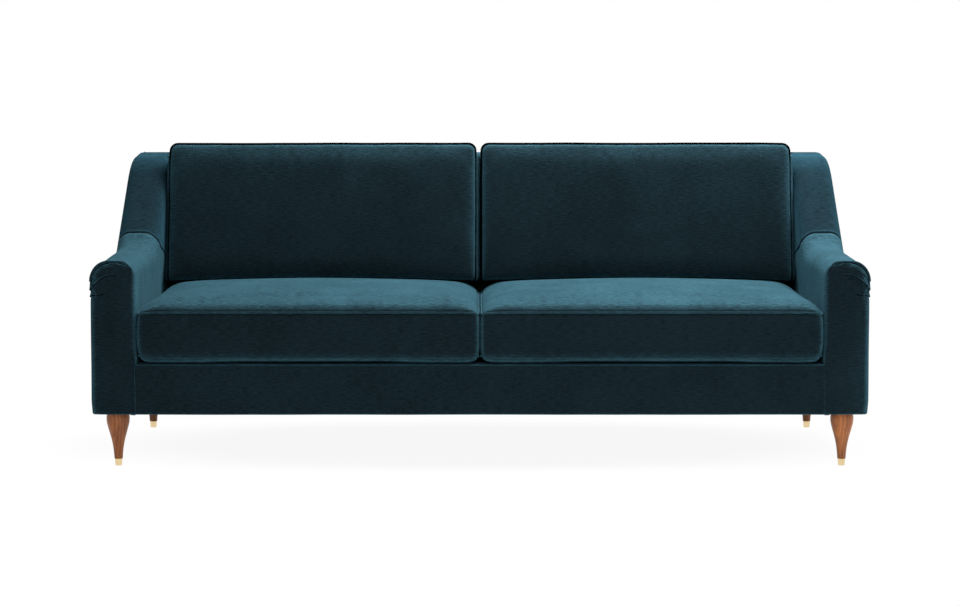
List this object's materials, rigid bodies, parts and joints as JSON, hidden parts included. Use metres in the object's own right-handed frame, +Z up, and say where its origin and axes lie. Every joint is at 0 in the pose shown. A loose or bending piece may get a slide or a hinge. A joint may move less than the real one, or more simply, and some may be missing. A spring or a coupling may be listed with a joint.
{
  "type": "sofa",
  "caption": "Velvet sofa with arms that slope up to the back, loose boxed seat and back cushions, and turned wooden legs in brass ferrules.",
  "frame": {"origin": "on the floor, at the middle of the bounding box, between the four feet", "axes": "+X along the width to the viewer's right, -Y is the front, +Z up"},
  "size_m": [2.188, 0.942, 0.9024],
  "materials": {
    "velvet": "deep teal velvet with a short brushed pile, matt head-on and pale at a glance",
    "foam": "cut upholstery foam, cream",
    "wadding": "white polyester wadding",
    "cambric": "black non-woven cambric",
    "webbing": "woven elastic webbing",
    "frame_wood": "sawn hardwood and plywood, unfinished",
    "turned_wood": "turned walnut, satin lacquer",
    "ferrule_brass": "spun brass, satin polish",
    "spring_steel": "drawn spring wire",
    "bolt_steel": "zinc-plated hanger bolt"
  },
  "bodies": {
    "frame": {"front_seat_rail": "frame_wood", "rear_seat_rail": "frame_wood", "side_seat_rail_left": "frame_wood", "side_seat_rail_right": "frame_wood", "centre_stretcher": "frame_wood", "corner_block_front_left": "frame_wood", "corner_block_front_right": "frame_wood", "corner_block_rear_left": "frame_wood", "corner_block_rear_right": "frame_wood", "arm_outer_board_left": "frame_wood", "arm_outer_board_right": "frame_wood", "arm_inner_board_left": "frame_wood", "arm_inner_board_right": "frame_wood", "arm_front_post_left": "frame_wood", "arm_front_post_right": "frame_wood", "back_post_left": "frame_wood", "back_post_right": "frame_wood", "top_back_rail": "frame_wood", "lower_back_rail": "frame_wood", "back_centre_upright": "frame_wood", "seat_springs_left": "spring_steel", "seat_springs_right": "spring_steel", "back_webbing_left": "webbing", "back_webbing_right": "webbing", "arm_padding_left": "foam", "arm_padding_right": "foam", "arm_cover_left": "velvet", "arm_cover_right": "velvet", "wing_cover_left": "velvet", "wing_cover_right": "velvet", "back_padding": "foam", "inside_back_cover": "velvet", "outside_back_cover": "velvet", "front_border_padding": "wadding", "front_border_cover": "velvet", "deck_pad": "foam", "deck_cover": "cambric", "dust_cover": "cambric", "leg_front_left": "turned_wood", "leg_front_right": "turned_wood", "leg_rear_left": "turned_wood", "leg_rear_right": "turned_wood", "ferrule_front_left": "ferrule_brass", "ferrule_front_right": "ferrule_brass", "ferrule_rear_left": "ferrule_brass", "ferrule_rear_right": "ferrule_brass", "hanger_bolt_front_left": "bolt_steel", "hanger_bolt_front_right": "bolt_steel", "hanger_bolt_rear_left": "bolt_steel", "hanger_bolt_rear_right": "bolt_steel"},
    "seat_left": {"seat_cushion_left": "velvet", "seat_core_left": "foam"},
    "seat_right": {"seat_cushion_right": "velvet", "seat_core_right": "foam"},
    "back_left": {"back_cushion_left": "velvet", "back_core_left": "foam"},
    "back_right": {"back_cushion_right": "velvet", "back_core_right": "foam"}
  },
  "joints": [
    {"name": "seat_left_pull", "type": "slide", "parent": "frame", "child": "seat_left", "axis": [0, -1, 0], "range_m": [0, 0.73]},
    {"name": "seat_right_pull", "type": "slide", "parent": "frame", "child": "seat_right", "axis": [0, -1, 0], "range_m": [0, 0.73]},
    {"name": "back_left_lift", "type": "slide", "parent": "frame", "child": "back_left", "axis": [0, 0, 1], "range_m": [0, 0.5]},
    {"name": "back_right_lift", "type": "slide", "parent": "frame", "child": "back_right", "axis": [0, 0, 1], "range_m": [0, 0.5]}
  ]
}
